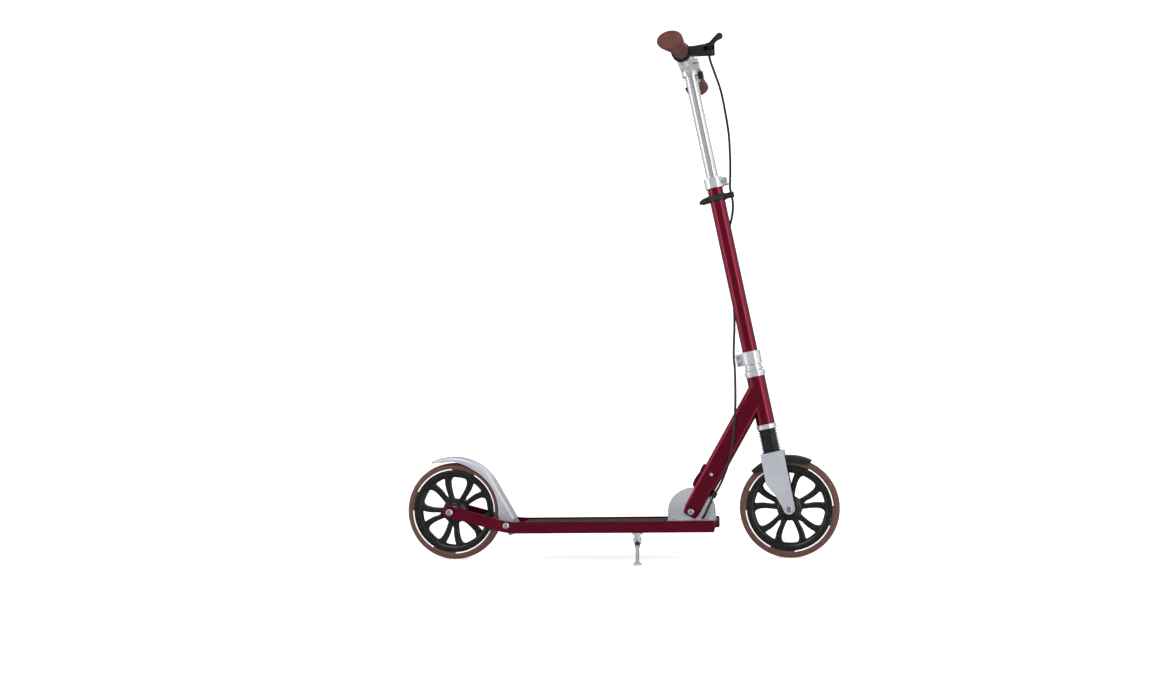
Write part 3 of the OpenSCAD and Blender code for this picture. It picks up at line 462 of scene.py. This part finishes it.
def add_stage():
    """A round white floor that curves up into a wall, the same from every side."""
    s = Shader("studio_white", Specular_IOR_Level=0.15)
    s.surface.inputs["Base Color"].default_value = (0.86, 0.86, 0.86, 1)
    s.surface.inputs["Roughness"].default_value = 0.6
    s.surface.inputs["Emission Color"].default_value = (1, 1, 1, 1)
    s.surface.inputs["Emission Strength"].default_value = FLOOR_GLOW
    outline = [(r, 0.0) for r in (0.02, 0.5, 1.2, 2.5, 4.0)]
    outline += [(FLOOR_R + COVE_R * math.sin(a), COVE_R * (1 - math.cos(a)))
                for a in [math.radians(6 * i) for i in range(16)]]
    outline += [(FLOOR_R + COVE_R, WALL_TOP)]
    turns = [TAU * k / FLOOR_SIDES for k in range(FLOOR_SIDES)]
    loops = [[Vector((r * math.cos(a), r * math.sin(a), z)) for a in turns] for r, z in outline]
    floor = rings("studio_floor", loops, s.material, caps=False)
    centre = piece("studio_floor_centre", loops[0], [tuple(range(FLOOR_SIDES))], s.material)
    for part in (floor, centre):
        part.visible_glossy = False


def add_light(name, place, target, size, power, colour=(1, 1, 1)):
    data = bpy.data.lights.new(name, "AREA")
    data.shape = "RECTANGLE"
    data.size, data.size_y = size
    data.energy = power
    data.color = colour
    light = bpy.data.objects.new(name, data)
    light.location = place
    light.rotation_mode = "QUATERNION"
    light.rotation_quaternion = (Vector(target) - Vector(place)).to_track_quat("-Z", "Y")
    bpy.context.scene.collection.objects.link(light)


def add_lights():
    """A world that is bright ahead and behind, and dimmer in the middle and on the far side,
    which the metal mirrors, and five soft area lights."""
    world = bpy.data.worlds.new("studio")
    world.use_nodes = True
    nodes, links = world.node_tree.nodes, world.node_tree.links
    parts = nodes.new("ShaderNodeSeparateXYZ")
    links.new(nodes.new("ShaderNodeTexCoord").outputs["Generated"], parts.inputs[0])

    def step(axis, start, end, low, high):
        """A smooth step from low to high between two values of one axis of the direction."""
        node = nodes.new("ShaderNodeMapRange")
        node.interpolation_type = "SMOOTHSTEP"
        for socket, value in (("From Min", start), ("From Max", end), ("To Min", low), ("To Max", high)):
            node.inputs[socket].default_value = value
        links.new(parts.outputs[axis], node.inputs["Value"])
        return node.outputs[0]

    def combine(operation, first, second):
        node = nodes.new("ShaderNodeMath")
        node.operation = operation
        links.new(first, node.inputs[0])
        links.new(second, node.inputs[1])
        return node.outputs[0]

    ahead = step("X", 0.42, 0.72, 0.24, 1.02)
    behind = step("X", -0.97, -0.66, 0.78, 0.0)
    far_side = step("Y", 0.1, 0.55, 1.0, 0.35)
    brightness = combine("MULTIPLY", combine("ADD", ahead, behind), far_side)
    links.new(brightness, nodes["Background"].inputs["Strength"])
    nodes["Background"].inputs["Color"].default_value = (1, 1, 1, 1)
    bpy.context.scene.world = world
    bpy.context.scene.view_settings.view_transform = "Standard"
    middle = (0, 0, 0.5)
    add_light("key", (-1.1, -2.9, 2.6), middle, (2.4, 1.4), 34)
    add_light("strip_front", (2.6, -1.7, 1.3), middle, (0.5, 2.2), 12)
    add_light("strip_rear", (-2.7, -1.5, 1.1), middle, (0.5, 2.0), 10)
    add_light("top", (0, 0.3, 3.6), middle, (3.0, 2.2), 30)
    add_light("far_side", (0.8, 3.1, 2.2), middle, (2.4, 1.4), 18)


# ---- wheels ----

def tyre_outline():
    """Half from the middle of the tread to the bead, then the other half."""
    half = [(102.45, 0), (102.45, 2.0), (102.1, 2.3), (102.1, 2.9), (102.45, 3.2), (102.45, 6.0)]
    half += [(94 + 8.45 * math.sin(a), 6 + 8.45 * math.cos(a))
             for a in [math.radians(d) for d in range(84, -21, -8)]]
    half += [(90.5, 13.9), (90.1, 13.5), (89.6, 13.5), (88.0, 13.0), (86.4, 12.0), (86.1, 11.2)]
    return half + [(r, -y) for r, y in reversed(half[1:])]


# half of each opening between the spokes: out from the axle, and away from the middle line
WIDE_WINDOW = [(23.5, 0), (25, 4.4), (34, 9.3), (46, 14.2), (57, 17.2), (64, 17.3), (69.5, 14.8), (71.4, 8)]
NARROW_WINDOW = [(32, 0), (34, 2.0), (50, 4.7), (61, 8.0), (69, 11.2), (71.4, 9.6), (72, 4.5)]


def window(outline, turn):
    """A window's outline mirrored about its middle line, rounded, and turned into place."""
    mirrored = outline + [(x, -y) for x, y in reversed(outline[1:])]
    points = [Vector((x, y, 0)) for x, y in mirrored]
    looped = smooth_line(points[-2:] + points + points[:2], 4)[8:-8]
    c, s = math.cos(math.radians(turn)), math.sin(math.radians(turn))
    return [(p.x * c - p.y * s, p.x * s + p.y * c) for p in looped[:-1]]


def add_wheel(end, axle, body, rim_turn, ring_turn):
    place = sideways(axle)
    tyre = lathe(end + "_tyre_moulding", tyre_outline(), place,
                 tyre_rubber(end + "_tyre_rubber", axle, ring_turn), 192)
    fit(tyre, body, end + "_tyre")
    windows = []
    for i in range(5):
        windows.append(window(WIDE_WINDOW, -9 - 72 * i))
        windows.append(window(NARROW_WINDOW, -45 - 72 * i))
    turned = place @ Matrix.Rotation(math.radians(9 - rim_turn), 4, "Z")
    web = plate(end + "_spokes", [arc(0, 0, 78, 0, 357, 119)] + windows, 15, 3.2, turned, GLOSS_BLACK)
    fit(web, body, end + "_rim")
    ring = [(72.6, 0), (72.9, 6.2), (74.2, 8.8), (76.6, 10.2), (80, 11.2), (84.6, 11.4), (85.6, 11.0),
            (86.0, 10.2)]
    ring += [(r, -y) for r, y in reversed(ring[1:])]
    fit(lathe(end + "_rim_ring", ring, place, GLOSS_BLACK, 192), body)
    hub = [(11.0, 14.9), (15.5, 14.9), (17.5, 14.2), (19.0, 12.6), (20.5, 10.4), (23.0, 8.6),
           (26.0, 7.4), (26.0, 6.0)]
    hub += [(r, -y) for r, y in reversed(hub)]
    fit(lathe(end + "_hub", hub, place, GLOSS_BLACK, 96), body)


# ---- brake cable ----

# the same routes as the CAD cords, in millimetres in the steering frame, the down tube's
# frame and the world
UPPER_ROUTE = [(54.2, -136, 1031.3), (54.4, -135, 1018), (57, -126, 996), (60.5, -106, 961),
               (59, -82, 922), (55, -57, 879), (47, -32, 839), (38, -11, 803), (32.6, -2, 785),
               (31, 0, 776), (31, 0, 772)]
MIDDLE_ROUTE = [(31, 0, 771.5), (31, 0, 763), (31, 0, 754), (29.5, 1.5, 742), (25, 6, 727),
                (17.5, 13.5, 711), (8, 20, 695), (0, 21.8, 675), (-6, 21.8, 640), (-9, 21.5, 600),
                (-12, 20.5, 560), (-16, 16.5, 525), (-22, 10, 492), (-29, 4, 462), (-35.5, 0, 432),
                (-38, -3, 410), (-42, -11, 384), (-46.5, -20.5, 357), (-52, -24, 331),
                (-61, -24.5, 297), (-75, -24.5, 253), (-92, -24.5, 216), (-109.5, -24.5, 188),
                (-120.3, -20.5, 174), (-128.4, -19, 165.3)]
LOWER_ROUTE = [(25.5, -19, 62.4), (25.5, -19, 55), (25.5, -19, 47), (26, -20.5, 37), (27, -22, 24),
               (28, -22.5, 12), (27.8, -22.5, 3), (28.7, -22.5, -4)]
DECK_ROUTE = [(176, -22.5, 78), (175, -22, 72.5), (168, -19, 68.5), (152, -10, 67), (130, -2, 67),
              (105, 0, 67), (40, 0, 67), (-40, 0, 67), (-120, 0, 67), (-178, 0, 67), (-198, 0, 66),
              (-211, 0, 61.5), (-219, 0, 57.6), (-225.8, 0, 56.2)]
CABLE_R = 2.5 * MM


def cable(name, route, place, steps=8):
    line = smooth_line([place @ (Vector(p) * MM) for p in route], steps)
    return swept(name, line, CABLE_R, CABLE, 14), line


def add_cables():
    """Each stretch of the brake cable is a tube along its route, in place of its CAD cord."""
    upper, line = cable("brake_hose_upper", UPPER_ROUTE, STEER)
    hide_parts("brake_cable_upper")
    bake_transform(upper)
    middle, line = cable("brake_hose_middle", MIDDLE_ROUTE, STEER)
    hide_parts("brake_cable_middle")
    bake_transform(middle)
    lower, line = cable("brake_hose_lower", LOWER_ROUTE, TUBE)
    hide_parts("brake_cable_lower")
    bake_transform(lower)
    deck, line = cable("brake_hose_deck", DECK_ROUTE, LEVEL)
    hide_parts("brake_cable_deck")
    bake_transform(deck)


# ---- fenders ----

def shell(name, stations, half_width, round_r, wall, dome, material):
    """A pressed fender: at each station (point, inward direction, skirt depth), a section that
    runs from one skirt's edge over the crown to the other's. Lengths are in millimetres."""
    loops = []
    for point, inward, depth in stations:
        half = [(half_width, depth), (half_width, (depth + round_r) / 2), (half_width, round_r)]
        half += [(half_width - round_r * (1 - math.cos(a)), round_r * (1 - math.sin(a)))
                 for a in [math.radians(d) for d in (18, 36, 54, 72, 90)]]
        half = [(y, min(d, depth)) for y, d in half]
        flat = half_width - round_r
        half += [(flat * f, -dome * (1 - f * f)) for f in (0.75, 0.5, 0.25)]
        section = [(-y, d) for y, d in half] + [(0, -dome)] + list(reversed(half))
        loops.append([point + (inward * (d + dome) + Vector((0, y, 0))) * MM for y, d in section])
    obj = rings_open(name, loops, material)
    solid = obj.modifiers.new("wall", "SOLIDIFY")
    solid.thickness = wall * MM
    solid.offset = 0
    edge = obj.modifiers.new("edge", "BEVEL")
    edge.width = 0.4 * MM
    edge.segments = 2
    edge.limit_method = "ANGLE"
    edge.angle_limit = math.radians(50)
    return obj


def rings_open(name, lines, material):
    """A skin over open lines of points."""
    n = len(lines[0])
    faces = [(i * n + k, i * n + k + 1, (i + 1) * n + k + 1, (i + 1) * n + k)
             for i in range(len(lines) - 1) for k in range(n - 1)]
    return piece(name, [p for line in lines for p in line], faces, material)


# the rear fender's arc, in millimetres from the axle and in degrees, and the foot of its
# straight part
CROWN_X, CROWN_Z, CROWN_R = -2.0, 9.0, 106.0
CROWN_START, CROWN_END = 114.0, 29.4
CROWN_FOOT = (134.0, -16.7)


def reach(x, z, dx, dz, r):
    """How far a ray from outside goes before it is r from the axle."""
    b = x * dx + z * dz
    return -b - math.sqrt(max(b * b - (x * x + z * z - r * r), 0))


def rear_fender_stations():
    """Along the fender from its tail, over the wheel, and straight down to the deck. Its skirts
    reach in to 106.5 mm from the axle over the tail, and to 100 mm further on."""
    stations = []
    for i in range(41):
        a = math.radians(CROWN_START + (CROWN_END - CROWN_START) * i / 40)
        x, z = CROWN_X + CROWN_R * math.cos(a), CROWN_Z + CROWN_R * math.sin(a)
        dx, dz = -math.cos(a), -math.sin(a)
        share = min(max((88 - math.degrees(math.atan2(z, x))) / 24, 0), 1)
        edge_r = 106.5 - 6.5 * share
        depth = reach(x, z, dx, dz, edge_r)
        tail = min(1.0, 0.25 + i / 8)
        stations.append((x, z, dx, dz, depth * tail))
    x0, z0 = stations[-1][:2]
    run = math.hypot(CROWN_FOOT[0] - x0, CROWN_FOOT[1] - z0)
    ux, uz = (CROWN_FOOT[0] - x0) / run, (CROWN_FOOT[1] - z0) / run
    for i in range(1, 25):
        x, z = x0 + ux * run * i / 24, z0 + uz * run * i / 24
        stations.append((x, z, uz, -ux, min(reach(x, z, uz, -ux, 100), 27)))
    return [(REAR_AXLE + Vector((x, 0, z)) * MM, Vector((dx, 0, dz)), d) for x, z, dx, dz, d in stations]


def add_rear_fender():
    body = "fender"
    fit(shell("rear_fender_pressing", rear_fender_stations(), 21.2, 4.5, 1.6, 0.8, SATIN),
        body, "rear_fender")
    anchor = centre_of("cable_anchor")
    drop = (FENDER_HINGE.z - anchor.z) / MM
    outline = arc(0, 0, 9, 0, -180, 16) + arc(0, drop, 5.5, 180, 0, 12)
    for side in (-1, 1):
        place = sideways(Vector((FENDER_HINGE.x, side * 21 * MM, FENDER_HINGE.z)))
        lug = plate("fender_lug_" + ("left" if side > 0 else "right"), [outline, arc(0, 0, 4.3, 0, 350, 20)],
                    2, 0.4, place, SATIN)
        fit(lug, body)


def add_front_fender():
    stations = []
    for i in range(37):
        a = math.radians(64 + (134.5 - 64) * i / 36)
        inward = Vector((-math.cos(a), 0, -math.sin(a)))
        end = min(i, 36 - i)
        depth = 14 * min(1.0, 0.35 + end / 6)
        stations.append((FRONT_AXLE - inward * 108.3 * MM, inward, depth))
    guard = shell("front_fender_moulding", stations, 20.2, 4.0, 2.0, 0.6, BLACK)
    fit(guard, "fork", "front_fender")


# ---- grips ----

# each station: share of the grip's length, radius round the bar, how far back the palm rest
# reaches, and the palm rest's radius
GRIP = [(0.0, 15.4, 0, 15.4), (0.03, 16.3, 0, 15.8), (0.2, 16.3, 1.5, 15.4), (0.42, 16.3, 5, 14.2),
        (0.62, 16.8, 11, 13.8), (0.8, 17.5, 16.5, 14.2), (0.92, 17.9, 19, 13.9), (0.975, 17.7, 19.6, 13.6),
        (1.0, 16.2, 19.4, 12.0)]
# the ribbed part and the ribs' pitch, as shares of the grip's length, and their depth
RIBS_FROM, RIBS_TO, RIB_PITCH, RIB_DEPTH = 0.06, 0.56, 0.05, 0.55
# the dished end: how far in from the edge, and how deep
GRIP_END = [(0.5, -0.25), (1.4, -0.3), (2.4, -0.1), (3.0, 0.7), (3.6, 1.3), (6.5, 1.6), (10.0, 1.7)]
GRIP_END_DROP = 0.3


def grip_loop(station, inner, outer, side, n=48):
    """An oval round the bar that reaches back behind it for the palm."""
    share, r, back, palm_r = station
    behind = max(r, back + palm_r)
    middle, reach_r = (r - behind) / 2, (r + behind) / 2
    y = side * (inner + (outer - inner) * share)
    return [beside_bar(middle + reach_r * math.cos(a), y, r * math.sin(a))
            for a in [TAU * k / n for k in range(n)]]


def beside_bar(x, y, z):
    """A point in millimetres from the bar's centre: forward, sideways and up the steering axis."""
    return BAR + (STEER_FORWARD * x + STEER_AXIS * z + Vector((0, y, 0))) * MM


def add_grips():
    for name, side in (("grip_right", -1), ("grip_left", 1)):
        low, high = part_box(name)
        inner, outer = sorted((abs(low.y) / MM, abs(high.y) / MM))
        dense = smooth_line([Vector(station[:3]) for station in GRIP], 14)
        palms = smooth_line([Vector((station[3], 0, 0)) for station in GRIP], 14)
        stations = []
        for p, q in zip(dense, palms):
            cut = 0.0
            if RIBS_FROM < p.x < RIBS_TO:
                cut = RIB_DEPTH * (0.5 - 0.5 * math.cos(TAU * (p.x - RIBS_FROM) / RIB_PITCH))
            stations.append((p.x, p.y - cut, p.z, q.x - cut))
        loops = [grip_loop(s, inner, outer, side) for s in stations]
        last = GRIP[-1]
        for inset, sink in GRIP_END:
            end = (1.0, last[1] - inset, last[2], last[3] - inset)
            drop = Vector((0, side * (sink + GRIP_END_DROP) * MM, 0))
            loops.append([p - drop for p in grip_loop(end, inner, outer, side)])
        fit(rings(name + "_moulding", loops, BROWN), "handlebar", name)


# ---- hand lever and stand ----

# the hand lever's middle line in the level frame at the bar's centre, and its radius
HAND_LEVER = [(60, -147, 3.9), (60.5, -160, 4.0), (62, -174, 4.2), (66, -191, 4.7), (73, -213, 4.9),
              (80, -235, 5.2), (86, -250, 6.0), (89, -257, 6.8)]


def add_hand_lever():
    spots = smooth_line([Vector(p) for p in HAND_LEVER], 5)
    line = [BAR + Vector((p.x, p.y, 0)) * MM for p in spots]
    radii = [p.z * MM for p in spots]
    ahead = (line[-1] - line[-3]).normalized()
    tip, r = line[-1], radii[-1]
    for a in (20, 40, 60, 80):
        line.append(tip + ahead * r * math.sin(math.radians(a)))
        radii.append(r * math.cos(math.radians(a)))
    fit(swept("brake_lever_blade", line, radii, BLACK, 28), "hand_lever", "brake_lever")
    pivot = BAR + Vector((60, -147, 0)) * MM
    pin = [(0.05, -11), (2.0, -11), (2.45, -10.6), (2.45, 10.6), (2.0, 11), (0.05, 11)]
    upright = frame_at(pivot, Vector((1, 0, 0)), Vector((0, 0, 1)))
    fit(lathe("brake_lever_pin", pin, upright, ZINC, 32), "hand_lever")


def add_stand_sleeve():
    """The black sleeve round the top of the kickstand's leg."""
    hinge = joint_place("kickstand")
    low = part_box("kickstand_leg")[0]
    foot = Vector((JOINTS["kickstand"]["pos_m"][0] + 12 * MM, low.y + 9 * MM, 4.6 * MM))
    along = (foot - hinge).normalized()
    start = hinge + along * 12 * MM
    line = [start + along * d * MM for d in (0, 0.6, 1.5, 14, 15.2, 16)]
    fit(swept("stand_sleeve", line, [r * MM for r in (4.0, 4.9, 5.2, 5.2, 4.9, 4.0)], RUBBER, 24), "stand")


# ---- suspension ----

# the fork's travel is 14 mm; both pieces below ride on the column
BOOT_LENGTH, BOOT_FOLDS = 50.0, 10


def add_bellows():
    middle = (STEER.inverted() @ centre_of("bellows")).z / MM
    half = BOOT_LENGTH / 2
    pitch = BOOT_LENGTH / BOOT_FOLDS
    outline = [(15.3, middle - half), (18.3, middle - half)]
    for i in range(BOOT_FOLDS):
        base = middle - half + pitch * i
        outline += [(15.9, base + pitch * 0.06), (17.6, base + pitch * 0.2), (18.9, base + pitch * 0.33),
                    (19.5, base + pitch * 0.5), (18.9, base + pitch * 0.67), (17.6, base + pitch * 0.8),
                    (15.9, base + pitch * 0.94)]
    outline += [(18.3, middle + half), (15.3, middle + half)]
    boot = lathe("suspension_boot", outline, STEER, BOOT, 96)
    fit(boot, "column", "bellows")
    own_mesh(boot)


COIL_LENGTH, COIL_TURNS, COIL_R, COIL_WIRE = 72.4, 7, 10.3, 1.4
COIL_STEPS = 24


def add_suspension_spring():
    low = (STEER.inverted() @ centre_of("suspension_spring")).z / MM - COIL_LENGTH / 2
    line = []
    for i in range(COIL_TURNS * COIL_STEPS + 1):
        a = TAU * i / COIL_STEPS
        height = low + COIL_LENGTH * i / (COIL_TURNS * COIL_STEPS)
        line.append(STEER @ (Vector((COIL_R * math.cos(a), COIL_R * math.sin(a), height)) * MM))
    coil = swept("suspension_coil", line, COIL_WIRE * MM, SPRING, 10)
    fit(coil, "column", "suspension_spring")
    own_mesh(coil)


# ---- CAD nodes that keep their shape ----

CAD_LOOKS = {
    "side_rail_right": (PAINT, 1.0), "side_rail_left": (PAINT, 1.0), "down_tube": (PAINT, 0.8),
    "head_tube": (PAINT, 0.6), "column_tube": (PAINT, 0.5), "fold_lever": (PAINT, 0.8),
    "deck_plate": (DECK_FINISH, 0.4), "grip_tape": (GRIT, 0.2), "cross_members": (BRUSHED, 0.4),
    "fold_bracket": (SATIN, 0.8), "fold_pivot_pin": (ZINC, 0.3), "rear_axle": (ZINC, 0.3),
    "fender_pivot_bolt": (ZINC, 0.3), "fender_spring": (SPRING, 0), "kickstand_bracket": (SATIN, 0.5),
    "deck_bolts": (ZINC, 0.3), "rear_bearings": (ZINC, 0.3), "front_bearings": (ZINC, 0.3),
    "brake_pad": (BLACK, 0.4), "cable_anchor": (ZINC, 0.4), "kickstand_leg": (SATIN, 0.4),
    "kickstand_spring": (BLACK, 0.5), "headset_cups": (POLISHED, 0.5), "headset_bearings": (ZINC, 0.2),
    "latch_pivot_pin": (POLISHED, 0.3), "down_tube_clip": (BLACK, 0.6), "latch_bolt": (ZINC, 0.5),
    "steerer": (ZINC, 0.3), "column_clamp": (POLISHED, 0.7), "clamp_bolts": (ZINC, 0.3),
    "headset_locknut": (POLISHED, 0.4), "height_collar": (POLISHED, 0.7), "column_clip": (BLACK, 0.8),
    "quick_release_skewer": (ZINC, 0.3), "quick_release_lever": (POLISHED, 0.6),
    "inner_tube": (DRAWN, 0.3), "bar_housing": (POLISHED, 0.7), "housing_knob": (BLACK, 0.5),
    "handlebar_tube": (POLISHED, 0.3), "brake_bracket": (BLACK, 1.0), "height_button": (BLACK, 0.5),
    "fork_crown": (SATIN, 0.8), "fork_leg_right": (SATIN, 0.7),
    "fork_leg_left": (SATIN, 0.7), "front_axle": (ZINC, 0.3),
}


def dress_cad_nodes():
    for name, (material, edge) in CAD_LOOKS.items():
        dress(NODES[name], material)
        if edge:
            crisp(NODES[name], edge)


add_camera()
add_stage()
add_lights()
dress_cad_nodes()
add_wheel("rear", REAR_AXLE, "rear_wheel", 9, 75)
add_wheel("front", FRONT_AXLE, "front_wheel", -18, 79)
add_cables()
add_rear_fender()
add_front_fender()
add_grips()
add_hand_lever()
add_stand_sleeve()
add_bellows()
add_suspension_spring()
